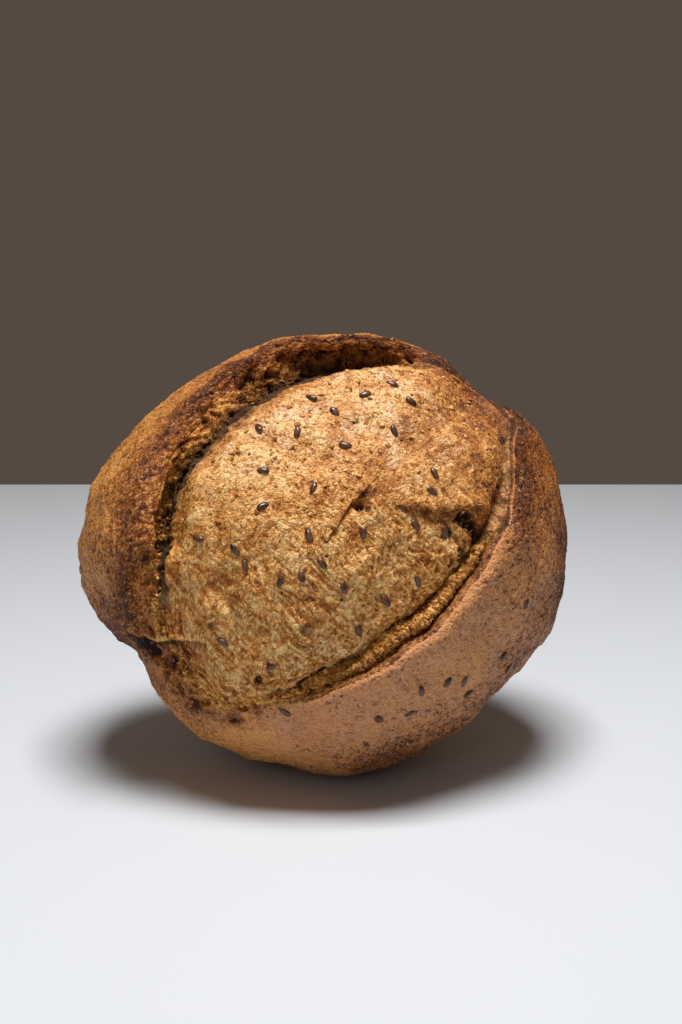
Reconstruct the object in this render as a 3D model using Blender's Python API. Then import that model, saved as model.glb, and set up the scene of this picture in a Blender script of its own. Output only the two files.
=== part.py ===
"""A round rye loaf with flax seeds, standing on its rim with its scored top to the front.

The loaf is one closed body. It is worked out in its own frame, in millimetres: p runs to the
right across its face, q runs up its face, and h runs from its base to its top. Each section
through the axis goes from the middle of the top, over the bulging crumb, down into the score
crack, up the torn face to the lip of crust, over the lip, round the rim and across the base.
"""
import math

import bpy
import numpy as np
from mathutils import Matrix

MM = 0.001

# The loaf's main sizes, in millimetres.
THICKNESS = 112.0
RIM_HEIGHT = 46.0
BASE_CURVE = ((0.0, 46.0), (2.2, 30.0), (7.0, 14.0), (12.5, 6.6), (21.0, 1.9), (32.0, 0.3))

# The loaf's attitude: its axis points to the front, up by LEAN and right by TURN, in degrees.
LEAN = 25.0
TURN = 9.0
FLAT_SPOT = 3.0

# Sections round the loaf. Each row: angle from the right, counter-clockwise, in degrees; then in
# millimetres the radius of the rim, of the edge of the crumb, of the lip's inner edge and of its
# crest, the depth of the crack, the height of the crest over the dome, and the undercut; then how
# far the torn face is a shelf beside the lip, from 0 to 1.
SECTIONS = (
    (-180, 88, 53.5, 62, 67.5, 17, 4, 3, 0),
    (-170, 85.5, 56, 65.5, 72.5, 9, 3.5, 2, 0),
    (-162, 81, 58, 67.5, 74, 6, 2.5, 1, 0),
    (-156, 77, 61, 68, 73, 3, -5.5, 0, 0),
    (-132, 79, 67, 70, 74, 2, -4, 0, 0),
    (-113, 80, 57, 62, 64, 3.5, -1, 0, 0.4),
    (-100, 78, 47, 57, 59, 8, 1, 0, 0.9),
    (-84, 81, 41.5, 51, 53, 10, 2, 0, 1),
    (-60, 81, 37, 46.5, 48.7, 11, 2, 0, 1),
    (-40, 83, 39.5, 47, 49.2, 10, 2, 0, 1),
    (-20, 90, 43, 50, 52, 9, 2, 0, 0.9),
    (0, 94, 48.5, 57, 59, 7, 2, 0, 0.3),
    (12, 94.5, 57, 62.5, 64.5, 3, 1, 0, 0),
    (24, 96, 66, 70, 73, 2, 1, 0, 0),
    (31, 94, 73, 79, 83, 1, 0, 0, 0),
    (43, 86, 74, 77.5, 81, 0, 0, 0, 0),
    (56, 90, 70, 74, 77, 3, 0, 0, 0),
    (66, 88, 64, 72.5, 76.5, 12, 3, 3, 0),
    (78, 85, 57.5, 71.5, 74.5, 19, 6, 5, 0),
    (92, 82, 52.5, 69, 72.5, 20, 7, 5, 0),
    (108, 82, 48.8, 66, 70.5, 18, 6, 3, 0),
    (126, 81, 45, 61.5, 68.5, 15, 5, 1, 0),
    (146, 83, 47, 60, 67, 15, 4, 2, 0),
    (165, 88, 51.5, 60.5, 67, 18, 4, 3, 0),
)

# The least width of the crack and of the lip.
LEAST_GAP = 3.5
LEAST_LIP = 1.8

# Soft lumps over the whole loaf: the height and wavelength, in millimetres, and the draw's seed.
LUMPS = ((0.9, 46, 11), (0.6, 17, 12))

# Marks on the crumb, as lines of places (p, q) in millimetres on the loaf's face.
FOLD = ((-5, -6), (-1.5, -1.5), (1.5, 3), (6, 7))
FOLD_HOLLOW = (4.5, 3.0)
BLISTER = ((15, -7), (9, -13), (1, -19))
TEAR = ((22, 2), (33, 1), (47, 3))
TORN_PATCH = (36.0, -15.0)
SPLITS = (((-43, -20), (-39, -28), (-36, -36)), ((-27, -45), (-23, -54)))

# Flax seeds: their size, those that lie singly on the crumb (p, q, turn in degrees), those that
# lie singly on the crust (angle, radius, turn), and the number strewn over the back of the loaf,
# below a height over its base.
SEED_SIZE = (4.6, 2.5, 1.7)
CRUMB_SEEDS = (
    (-6, 45, 160), (-1, 37, 125), (-12, 30, 80), (-25, 16, 170), (-10, 10, 70), (-27, 4, 20),
    (-12, -7, 110), (-36, -8, 120), (-35, -14, 100), (-48, -6, 150), (-42, -38, 140), (-25, -46, 10),
    (5, -7, 80), (19, 2, 125), (24, -5, 120), (30, 7, 150), (32, 13, 110), (22, 50, 150),
    (19, 31, 110), (3, 23, 160), (-9, -18, 130), (-15, -21, 100), (-1, -24, 110), (-22, -19, 60),
    (13, -29, 130), (4, -38, 120), (25, -22, 110), (34, -5, 100), (11, 46, 20), (-25, 33, 110),
    (29, 40, 140),
)
CRUST_SEEDS = (
    (-107, 65, 130), (-79, 67, 150), (-73, 67, 40), (-40, 73, 60), (-50, 67, 100), (-57, 66, 80),
    (-54, 73, 50), (-23, 72, 90), (-36, 79, 70), (-66, 61, 120),
)
STREWN_SEEDS = 24
STREWN_BELOW = 42.0
SEED_TRIES = 4000
SEED_SPACING = 15.0
SEED_CLEARANCE = 9.0
SEED_LIFT = 0.15

# The fineness of the solid: columns round the loaf, and rows between each two of its guides.
COLUMNS = 76
ROWS = (4, 4, 4, 3, 2, 2, 2, 2, 2, 2, 2, 2, 3, 3, 2, 2, 2, 2, 2, 2, 2, 2, 1)
CRUST_ROW = 28
SEED_SIDES = 6
SOLVER = "EXACT"


def smooth_closed(theta, column):
    """A value at any angle: a cubic through the sections' values, closed round the loaf.

    The slope at a section is the weighted mean of the slopes on its two sides, and is nil where
    those two have opposite signs, so that the curve does not swing past its own values.
    """
    at = np.radians([row[0] for row in SECTIONS])
    value = np.array([row[column] for row in SECTIONS], float)
    at = np.concatenate((at[-2:] - 2 * np.pi, at, at[:3] + 2 * np.pi))
    value = np.concatenate((value[-2:], value, value[:3]))
    gap = np.diff(at)
    rise = np.diff(value) / gap
    slope = np.zeros_like(value)
    slope[1:-1] = (rise[:-1] * gap[1:] + rise[1:] * gap[:-1]) / (gap[1:] + gap[:-1])
    slope[1:-1] = np.where(rise[:-1] * rise[1:] > 0, slope[1:-1], 0)
    turned = (theta + np.pi) % (2 * np.pi) - np.pi
    low = np.clip(np.searchsorted(at, turned, side="right") - 1, 1, len(at) - 3)
    step = gap[low]
    u = (turned - at[low]) / step
    return ((2 * u**3 - 3 * u**2 + 1) * value[low] + (u**3 - 2 * u**2 + u) * step * slope[low]
            + (3 * u**2 - 2 * u**3) * value[low + 1] + (u**3 - u**2) * step * slope[low + 1])


def waves(points, length, seed, count=24):
    """Soft lumps of a given wavelength, about -1 to 1: a sum of plane waves in seeded directions."""
    draw = np.random.default_rng(seed)
    ways = draw.normal(size=(count, 3))
    ways *= (2 * np.pi / length) / np.linalg.norm(ways, axis=1)[:, None]
    ways *= draw.uniform(0.75, 1.3, size=(count, 1))
    phase = draw.uniform(0, 2 * np.pi, count)
    return np.cos(points @ ways.T + phase).sum(-1) * math.sqrt(2 / count) * 0.6


def wander(theta, seed, first=5, last=26):
    """A torn edge's wandering round the loaf, about -1 to 1: a sum of whole-number waves."""
    draw = np.random.default_rng(seed)
    total = np.zeros_like(theta)
    for turns in range(first, last):
        total += draw.uniform(0.4, 1) * np.cos(turns * theta + draw.uniform(0, 2 * np.pi)) / turns**0.5
    return total / 2.4


def guides(theta):
    """The guide points (radius, height) of the section at each angle, from top to base.

    The dome over the rim is a quarter of an ellipse. The crumb follows a slightly fuller curve
    down to its edge, and the crack, the torn face and the lip hang on the dome's height there.
    Beside a plain lip the torn face is a steep wall with an undercut. Beside a thin lip it is a
    shelf with a groove, and where the loaf is only scuffed its guides lie evenly on the slope.
    """
    rim, edge, inner, crest, depth, rise, under, shelf = (smooth_closed(theta, c) for c in range(1, 9))
    torn = np.clip(depth / 8, 0.15, 1)
    edge = edge + 0.9 * torn * wander(theta, 3)
    inner = np.maximum(inner + 0.9 * torn * wander(theta, 5), edge + LEAST_GAP)
    crest = np.maximum(crest + 0.8 * torn * wander(theta, 7), inner + LEAST_LIP)

    def dome(radius):
        share = np.clip(1 - (radius / rim) ** 2, 0, 1)
        return RIM_HEIGHT + (THICKNESS - RIM_HEIGHT) * np.sqrt(share)

    foot = dome(edge) - 2.5 * torn - 2.0 * shelf
    low = foot - depth
    width = inner - edge
    top = dome(crest) + rise
    shallow = 1 - np.clip((depth - 3) / 6, 0, 1)
    face = top + shallow * (dome(inner) - dome(crest)) - 0.28 * (crest - inner) - 1.0 * torn
    under = under * np.clip((face - low) / 10, 0, 1)
    low_face = 1 - np.clip(np.abs(face - low) / 9, 0, 1)
    rows = [(0 * theta, THICKNESS + 0 * theta)]
    for share in (0.3, 0.6, 0.84):
        fall = 0.82 * share**2 + 0.18 * share**6
        rows.append((share * edge, THICKNESS - (THICKNESS - foot) * fall))
    rows.append((0.975 * edge, foot + 0.06 * (THICKNESS - foot) + 0.2))
    for plain, beside, share in ((0.14, 0.07, 0.30), (0.30, 0.13, 0.75), (0.52, 0.21, 1.0)):
        rows.append((edge + (plain + shelf * (beside - plain)) * width, foot - share * depth))
    for steep, even, beside, share, shelf_share in (
            (-0.35 * width + 0.6 * under, 0.64, 0.34, 0.18, 0.80),
            (-0.12 * width + under, 0.78, 0.54, 0.50, 1.0),
            (0.35 * under, 0.91, 0.82, 0.82, 0.70)):
        wall = (1 - low_face) * (inner + steep) + low_face * (edge + even * width)
        radius = wall + shelf * (edge + beside * width - wall)
        rows.append((radius, low + (share + shelf * (shelf_share - share)) * (face - low)))
    rows.append((inner + 0.12 * (crest - inner), face + 0.2 * (top - face)))
    rows.append((crest, top))
    for share in (0.30, 0.58, 0.84):
        radius = crest + share * (rim - crest)
        rows.append((radius, dome(radius) + rise * (1 - share) ** 1.5))
    for inset, height in BASE_CURVE:
        rows.append((rim - inset, height + 0 * theta))
    rows.append((0.36 * rim, 0.0 * theta))
    rows.append((0 * theta, 0 * theta))
    return np.array(rows)


def sections(theta, rows):
    """Each section as a smooth curve through its guides, with the given rows between guides.

    It is a cubic Hermite curve on the guides' own chord lengths, flat across both poles.
    """
    guide = guides(theta)
    chord = np.maximum(np.linalg.norm(np.diff(guide, axis=0), axis=1), 1e-6)
    way = np.diff(guide, axis=0) / chord[:, None]
    slope = np.empty_like(guide)
    before, after = chord[:-1, None], chord[1:, None]
    slope[1:-1] = (way[:-1] * after + way[1:] * before) / (before + after)
    slope[0] = np.array([1.0, 0.0])[:, None]
    slope[-1] = np.array([-1.0, 0.0])[:, None]
    line = []
    for i, count in enumerate(rows):
        u = (np.arange(count) / count)[:, None, None]
        span = chord[i]
        line.append((2 * u**3 - 3 * u**2 + 1) * guide[i] + (u**3 - 2 * u**2 + u) * span * slope[i]
                    + (3 * u**2 - 2 * u**3) * guide[i + 1] + (u**3 - u**2) * span * slope[i + 1])
    return np.concatenate(line + [guide[-1:]])


def grid_points(columns, rows):
    """The loaf's surface as rows by columns of points (p, q, h), each section turned to its angle."""
    theta = np.linspace(-np.pi, np.pi, columns, endpoint=False)
    line = sections(theta, rows)
    radius, height = line[:, 0], line[:, 1]
    return np.stack((radius * np.cos(theta), radius * np.sin(theta), height), axis=-1)


def from_middle(points):
    """Unit ways from the loaf's middle to its points, along which lumps and marks are raised."""
    way = points - np.array([0.0, 0.0, RIM_HEIGHT])
    return way / np.linalg.norm(way, axis=-1, keepdims=True)


def outward(points):
    """Unit normals of the grid: the cross product of its two ways across, pointing out."""
    around = np.roll(points, -1, axis=1) - np.roll(points, 1, axis=1)
    down = np.gradient(points, axis=0)
    normal = np.cross(down, around)
    normal[0] = (0, 0, 1)
    normal[-1] = (0, 0, -1)
    return normal / np.maximum(np.linalg.norm(normal, axis=-1, keepdims=True), 1e-9)


def reach(p, q, line):
    """The distance from each place (p, q) to a line of places, and its side: + to its left."""
    best = np.full(np.shape(p), 1e9)
    side = np.zeros(np.shape(p))
    for (p0, q0), (p1, q1) in zip(line[:-1], line[1:]):
        dp, dq = p1 - p0, q1 - q0
        along = np.clip(((p - p0) * dp + (q - q0) * dq) / (dp * dp + dq * dq), 0, 1)
        away = np.hypot(p - p0 - along * dp, q - q0 - along * dq)
        turn = np.sign(dp * (q - q0) - dq * (p - p0))
        side = np.where(away < best, turn, side)
        best = np.minimum(best, away)
    return best, side


def face_marks(points):
    """The height that folds, tears and splits add on the crumb, in mm, on the top side only.

    A fold is high on its left and low on its right and fades away from its line, a split is a
    narrow groove, and a hollow, a blister and the torn patch are round bumps or dips.
    """
    p, q, h = points[..., 0], points[..., 1], points[..., 2]
    away, side = reach(p, q, FOLD)
    total = 0.8 * side * np.exp(-((away / 3.6) ** 2))
    total -= 1.6 * np.exp(-((np.hypot(p - FOLD_HOLLOW[0], q - FOLD_HOLLOW[1]) / 2.6) ** 2))
    total += 0.9 * np.exp(-((reach(p, q, BLISTER)[0] / 2.2) ** 2))
    away, side = reach(p, q, TEAR)
    total += (0.6 + 1.2 * side) * np.exp(-((away / 4.0) ** 2))
    total -= 1.6 * np.exp(-(((p - TORN_PATCH[0]) / 9) ** 2) - ((q - TORN_PATCH[1]) / 12) ** 2)
    for split in SPLITS:
        total -= 1.2 * np.exp(-((reach(p, q, split)[0] / 1.6) ** 2))
    return np.where(h > RIM_HEIGHT, total, 0)


def loaf_grid():
    """The loaf's surface in its own frame, with its soft lumps and the marks on its crumb."""
    points = grid_points(COLUMNS, ROWS)
    relief = face_marks(points)
    for height, length, seed in LUMPS:
        relief = relief + height * waves(points, length, seed)
    points = points + from_middle(points) * relief[..., None]
    points[0] = points[0].mean(0)
    points[-1] = points[-1].mean(0)
    return points


def stand(points):
    """Turns loaf points to the way the loaf stands, still in millimetres and not yet placed."""
    lean, turn = math.radians(LEAN), math.radians(TURN)
    across = np.array([math.cos(turn), math.sin(turn), 0])
    axis = np.array([math.cos(lean) * math.sin(turn), -math.cos(lean) * math.cos(turn), math.sin(lean)])
    up = np.cross(axis, across)
    return points @ np.array([across, up, axis])


def placing(world):
    """What is added to standing points so that the loaf rests on its flat spot, centred."""
    low, high = world.reshape(-1, 3).min(0), world.reshape(-1, 3).max(0)
    return np.array([-(low[0] + high[0]) / 2, -(low[1] + high[1]) / 2, -low[2] - FLAT_SPOT])


def loaf_faces(rows):
    """Quads between rows of the grid, and a fan of triangles at each pole, facing out."""
    place = np.arange((rows - 2) * COLUMNS).reshape(rows - 2, COLUMNS)
    beside = np.roll(place, -1, axis=1)
    quads = np.stack((place[:-1], place[1:], beside[1:], beside[:-1]), axis=-1).reshape(-1, 4)
    top = (rows - 2) * COLUMNS
    faces = quads.tolist()
    faces += [(top, a, b) for a, b in zip(place[0].tolist(), beside[0].tolist())]
    faces += [(top + 1, b, a) for a, b in zip(place[-1].tolist(), beside[-1].tolist())]
    return faces


def seed_places(points, low_edge):
    """Where the seeds lie: rows of a grid place (row, column) and a turn in degrees.

    A named seed takes the grid point nearest to its place. Strewn seeds are seeded random grid
    points on the back, kept apart from the others and clear of what the loaf rests on.
    """
    flat = points.reshape(-1, 3)
    front = flat[:, 2] > RIM_HEIGHT + 2
    chosen = []
    named = [(p, q, turn) for p, q, turn in CRUMB_SEEDS]
    named += [(radius * math.cos(math.radians(angle)), radius * math.sin(math.radians(angle)), turn)
              for angle, radius, turn in CRUST_SEEDS]
    for p, q, turn in named:
        away = np.hypot(flat[:, 0] - p, flat[:, 1] - q) + np.where(front, 0, 1e6)
        chosen.append((int(away.argmin()), turn))
    draw = np.random.default_rng(21)
    crust = np.arange(len(flat))[CRUST_ROW * COLUMNS:-COLUMNS]
    reach_down = low_edge.reshape(-1)[crust]
    crust = crust[(reach_down > SEED_CLEARANCE) & (flat[crust, 2] < STREWN_BELOW)]
    radius = np.hypot(flat[crust, 0], flat[crust, 1])
    for place in draw.choice(crust, SEED_TRIES, p=radius / radius.sum()):
        if len(chosen) == len(named) + STREWN_SEEDS:
            break
        gaps = np.linalg.norm(flat[[c for c, _ in chosen]] - flat[place], axis=1)
        if gaps.min() > SEED_SPACING:
            chosen.append((int(place), float(draw.uniform(0, 180))))
    return chosen


def seed_shape(centre, normal, turn):
    """A flax seed lying on the surface: a flattened drop, pointed at one end, as points and faces."""
    length, width, height = SEED_SIZE
    side = np.cross(normal, (0.0, 1.0, 0.0))
    side /= np.linalg.norm(side)
    ahead = np.cross(normal, side)
    angle = math.radians(turn)
    along = math.cos(angle) * side + math.sin(angle) * ahead
    across = np.cross(normal, along)
    points = [centre - along * length / 2]
    for place, share in ((-0.26, 0.86), (0.14, 0.92)):
        for k in range(SEED_SIDES):
            round_at = 2 * math.pi * k / SEED_SIDES
            points.append(centre + along * place * length
                          + across * math.cos(round_at) * share * width / 2
                          + normal * math.sin(round_at) * share * height / 2)
    points.append(centre + along * length / 2)
    last = 2 * SEED_SIDES + 1
    faces = []
    for k in range(SEED_SIDES):
        a, b = 1 + k, 1 + (k + 1) % SEED_SIDES
        faces += [(0, b, a), (a, b, b + SEED_SIDES, a + SEED_SIDES), (last, a + SEED_SIDES, b + SEED_SIDES)]
    return np.array(points), faces


def make_object(name, points, faces, material):
    """A named object at the origin with its place in its mesh, smooth and in one material."""
    mesh = bpy.data.meshes.new(name)
    mesh.from_pydata([tuple(map(float, point)) for point in points], [], [tuple(map(int, f)) for f in faces])
    mesh.materials.append(material)
    mesh.shade_smooth()
    item = bpy.data.objects.new(name, mesh)
    bpy.context.collection.objects.link(item)
    return item


def plain_material(name, colour, roughness):
    """A Principled material with one linear colour."""
    material = bpy.data.materials.new(name)
    material.use_nodes = True
    shader = material.node_tree.nodes["Principled BSDF"]
    shader.inputs["Base Color"].default_value = (*colour, 1)
    shader.inputs["Roughness"].default_value = roughness
    return material


def clear_scene():
    """Takes away what the new file holds."""
    for item in list(bpy.data.objects):
        bpy.data.objects.remove(item, do_unlink=True)


def fuse(body, pieces):
    """Joins the pieces to the body by one Boolean union on a collection, and applies it."""
    group = bpy.data.collections.new("fused pieces")
    for piece in pieces:
        bpy.context.collection.objects.unlink(piece)
        group.objects.link(piece)
    bpy.context.scene.collection.children.link(group)
    union = body.modifiers.new("fused pieces", "BOOLEAN")
    union.operation = "UNION"
    union.operand_type = "COLLECTION"
    union.collection = group
    union.solver = SOLVER
    joined = bpy.data.meshes.new_from_object(body.evaluated_get(bpy.context.evaluated_depsgraph_get()))
    body.modifiers.clear()
    body.data = joined
    for piece in pieces:
        bpy.data.objects.remove(piece, do_unlink=True)
    bpy.data.collections.remove(group)


def main():
    clear_scene()
    crust = plain_material("baked crust", (0.34, 0.17, 0.07), 0.6)
    grid = loaf_grid()
    normals = outward(grid)
    world = stand(grid)
    shift = placing(world)
    world = world + shift
    seeds = seed_places(grid, world[..., 2])
    world[..., 2] = np.maximum(world[..., 2], 0)
    middle = world[1:-1].reshape(-1, 3)
    points = np.concatenate((middle, world[0, :1], world[-1, :1]))
    loaf = make_object("loaf", points, loaf_faces(len(grid)), crust)
    pieces = []
    for place, turn in seeds:
        centre, normal = grid.reshape(-1, 3)[place], normals.reshape(-1, 3)[place]
        shape, faces = seed_shape(centre + SEED_LIFT * normal, normal, turn)
        pieces.append(make_object("seed", stand(shape) + shift, faces, crust))
    fuse(loaf, pieces)
    loaf.data.transform(Matrix.Scale(MM, 4))


main()
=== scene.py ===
import math

import bpy
import numpy as np
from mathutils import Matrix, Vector


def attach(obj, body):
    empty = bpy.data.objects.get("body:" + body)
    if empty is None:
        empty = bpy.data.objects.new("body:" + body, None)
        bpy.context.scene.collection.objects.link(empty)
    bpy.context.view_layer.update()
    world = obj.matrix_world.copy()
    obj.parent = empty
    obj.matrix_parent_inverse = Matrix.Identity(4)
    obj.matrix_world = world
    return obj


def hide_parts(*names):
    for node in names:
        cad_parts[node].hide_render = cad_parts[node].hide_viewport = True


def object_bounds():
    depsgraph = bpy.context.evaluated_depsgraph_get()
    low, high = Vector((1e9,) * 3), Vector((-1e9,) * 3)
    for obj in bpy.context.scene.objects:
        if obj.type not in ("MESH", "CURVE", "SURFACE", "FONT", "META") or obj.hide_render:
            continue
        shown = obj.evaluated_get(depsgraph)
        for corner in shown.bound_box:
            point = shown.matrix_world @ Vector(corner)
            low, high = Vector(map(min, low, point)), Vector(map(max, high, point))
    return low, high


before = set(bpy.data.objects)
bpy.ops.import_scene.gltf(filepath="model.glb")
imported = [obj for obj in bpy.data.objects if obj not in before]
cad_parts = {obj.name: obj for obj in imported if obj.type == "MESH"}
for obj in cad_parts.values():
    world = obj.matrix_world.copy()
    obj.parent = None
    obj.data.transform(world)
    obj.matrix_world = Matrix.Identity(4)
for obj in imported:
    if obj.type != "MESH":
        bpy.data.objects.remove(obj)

CAD_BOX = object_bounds()
MM = 0.001

# The loaf's main sizes, in millimetres, and its attitude, in degrees.
THICKNESS = 112.0
RIM_HEIGHT = 46.0
BASE_CURVE = ((0.0, 46.0), (2.2, 30.0), (7.0, 14.0), (12.5, 6.6), (21.0, 1.9), (32.0, 0.3))
LEAN = 25.0
TURN = 9.0
FLAT_SPOT = 3.0

# Sections round the loaf. Each row: angle from the right, counter-clockwise, in degrees; then in
# millimetres the radius of the rim, of the edge of the crumb, of the lip's inner edge and of its
# crest, the depth of the crack, the height of the crest over the dome, and the undercut; then how
# far the torn face is a shelf beside the lip, from 0 to 1.
SECTIONS = (
    (-180, 88, 53.5, 62, 67.5, 17, 4, 3, 0),
    (-170, 85.5, 56, 65.5, 72.5, 9, 3.5, 2, 0),
    (-162, 81, 58, 67.5, 74, 6, 2.5, 1, 0),
    (-156, 77, 61, 68, 73, 3, -5.5, 0, 0),
    (-132, 79, 67, 70, 74, 2, -4, 0, 0),
    (-113, 80, 57, 62, 64, 3.5, -1, 0, 0.4),
    (-100, 78, 47, 57, 59, 8, 1, 0, 0.9),
    (-84, 81, 41.5, 51, 53, 10, 2, 0, 1),
    (-60, 81, 37, 46.5, 48.7, 11, 2, 0, 1),
    (-40, 83, 39.5, 47, 49.2, 10, 2, 0, 1),
    (-20, 90, 43, 50, 52, 9, 2, 0, 0.9),
    (0, 94, 48.5, 57, 59, 7, 2, 0, 0.3),
    (12, 94.5, 57, 62.5, 64.5, 3, 1, 0, 0),
    (24, 96, 66, 70, 73, 2, 1, 0, 0),
    (31, 94, 73, 79, 83, 1, 0, 0, 0),
    (43, 86, 74, 77.5, 81, 0, 0, 0, 0),
    (56, 90, 70, 74, 77, 3, 0, 0, 0),
    (66, 88, 64, 72.5, 76.5, 12, 3, 3, 0),
    (78, 85, 57.5, 71.5, 74.5, 19, 6, 5, 0),
    (92, 82, 52.5, 69, 72.5, 20, 7, 5, 0),
    (108, 82, 48.8, 66, 70.5, 18, 6, 3, 0),
    (126, 81, 45, 61.5, 68.5, 15, 5, 1, 0),
    (146, 83, 47, 60, 67, 15, 4, 2, 0),
    (165, 88, 51.5, 60.5, 67, 18, 4, 3, 0),
)
DEPTH, SHELF = 5, 8

# The least width of the crack and of the lip.
LEAST_GAP = 3.5
LEAST_LIP = 1.8

# Soft lumps over the whole loaf: the height and wavelength, in millimetres, and the draw's seed.
LUMPS = ((0.9, 46, 11), (0.6, 17, 12))

# Marks on the crumb, as lines of places (p, q) in millimetres on the loaf's face.
FOLD = ((-5, -6), (-1.5, -1.5), (1.5, 3), (6, 7))
FOLD_HOLLOW = (4.5, 3.0)
BLISTER = ((15, -7), (9, -13), (1, -19))
TEAR = ((22, 2), (33, 1), (47, 3))
TORN_PATCH = (36.0, -15.0)
SPLITS = (((-43, -20), (-39, -28), (-36, -36)), ((-27, -45), (-23, -54)))

# Flax seeds: their size, those that lie singly on the crumb (p, q, turn in degrees), those that
# lie singly on the crust (angle, radius, turn), and the number strewn over the back of the loaf,
# below a height over its base.
SEED_SIZE = (4.6, 2.5, 1.7)
CRUMB_SEEDS = (
    (-6, 45, 160), (-1, 37, 125), (-12, 30, 80), (-25, 16, 170), (-10, 10, 70), (-27, 4, 20),
    (-12, -7, 110), (-36, -8, 120), (-35, -14, 100), (-48, -6, 150), (-42, -38, 140), (-25, -46, 10),
    (5, -7, 80), (19, 2, 125), (24, -5, 120), (30, 7, 150), (32, 13, 110), (22, 50, 150),
    (19, 31, 110), (3, 23, 160), (-9, -18, 130), (-15, -21, 100), (-1, -24, 110), (-22, -19, 60),
    (13, -29, 130), (4, -38, 120), (25, -22, 110), (34, -5, 100), (11, 46, 20), (-25, 33, 110),
    (29, 40, 140),
)
CRUST_SEEDS = (
    (-107, 65, 130), (-79, 67, 150), (-73, 67, 40), (-40, 73, 60), (-50, 67, 100), (-57, 66, 80),
    (-54, 73, 50), (-23, 72, 90), (-36, 79, 70), (-66, 61, 120),
)
STREWN_SEEDS = 24
STREWN_BELOW = 42.0
SEED_TRIES = 4000
SEED_SPACING = 15.0
SEED_CLEARANCE = 9.0
SEED_LIFT = 0.15

# The plain grid on which seeds are placed, and the fine grid of the finished surface: columns
# round the loaf, and rows between each two guides. The fine grid is cut into pieces at guides.
PLAIN_COLUMNS = 76
PLAIN_ROWS = (4, 4, 4, 3, 2, 2, 2, 2, 2, 2, 2, 2, 3, 3, 2, 2, 2, 2, 2, 2, 2, 2, 1)
CRUST_ROW = 28
COLUMNS = 840
FINE_ROWS = (56, 56, 44, 28, 14, 16, 9, 16, 20, 20, 14, 16, 24, 31, 41, 46, 32, 34, 12, 12, 12, 20, 20)
SHOULDER, FOOT, INNER_LIP, SIDE, BASE, POLE = 2, 7, 11, 15, 18, 23
# How deep the closed pieces of the surface reach inwards, in mm.
CRUMB_WALL, TORN_WALL, CRUST_WALL = 3.8, 3.0, 1.6


def ramp(value, start, end):
    """A soft step from 0 at start to 1 at end: the cubic 3u^2 - 2u^3."""
    u = np.clip((value - start) / (end - start), 0, 1)
    return u * u * (3 - 2 * u)


def fall(value, start, end):
    """A soft step down, from 1 at start to 0 at end."""
    return 1 - ramp(value, start, end)


def zone(value, start, full, fading, end):
    """A soft band: it rises from start to full, and falls from fading to end."""
    return ramp(value, start, full) * fall(value, fading, end)


def bell(value, width):
    """A smooth bump, 1 where the value is 0 and fading within a few widths: exp(-(v/w)^2)."""
    return np.exp(-((value / width) ** 2))


def smooth_closed(theta, column):
    """A value at any angle: a cubic through the sections' values, closed round the loaf.

    The slope at a section is the weighted mean of the slopes on its two sides, and is nil where
    those two have opposite signs, so that the curve does not swing past its own values.
    """
    at = np.radians([row[0] for row in SECTIONS])
    value = np.array([row[column] for row in SECTIONS], float)
    at = np.concatenate((at[-2:] - 2 * np.pi, at, at[:3] + 2 * np.pi))
    value = np.concatenate((value[-2:], value, value[:3]))
    gap = np.diff(at)
    rise = np.diff(value) / gap
    slope = np.zeros_like(value)
    slope[1:-1] = (rise[:-1] * gap[1:] + rise[1:] * gap[:-1]) / (gap[1:] + gap[:-1])
    slope[1:-1] = np.where(rise[:-1] * rise[1:] > 0, slope[1:-1], 0)
    turned = (theta + np.pi) % (2 * np.pi) - np.pi
    low = np.clip(np.searchsorted(at, turned, side="right") - 1, 1, len(at) - 3)
    step = gap[low]
    u = (turned - at[low]) / step
    return ((2 * u**3 - 3 * u**2 + 1) * value[low] + (u**3 - 2 * u**2 + u) * step * slope[low]
            + (3 * u**2 - 2 * u**3) * value[low + 1] + (u**3 - u**2) * step * slope[low + 1])


def waves(points, length, seed, count=24):
    """Soft lumps of a given wavelength, about -1 to 1: a sum of plane waves in seeded directions."""
    draw = np.random.default_rng(seed)
    ways = draw.normal(size=(count, 3))
    ways *= (2 * np.pi / length) / np.linalg.norm(ways, axis=1)[:, None]
    ways *= draw.uniform(0.75, 1.3, size=(count, 1))
    phase = draw.uniform(0, 2 * np.pi, count)
    return np.cos(points @ ways.T + phase).sum(-1) * math.sqrt(2 / count) * 0.6


def wander(theta, seed, first=5, last=26):
    """A torn edge's wandering round the loaf, about -1 to 1: a sum of whole-number waves."""
    draw = np.random.default_rng(seed)
    total = np.zeros_like(theta)
    for turns in range(first, last):
        total += draw.uniform(0.4, 1) * np.cos(turns * theta + draw.uniform(0, 2 * np.pi)) / turns**0.5
    return total / 2.4


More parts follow.
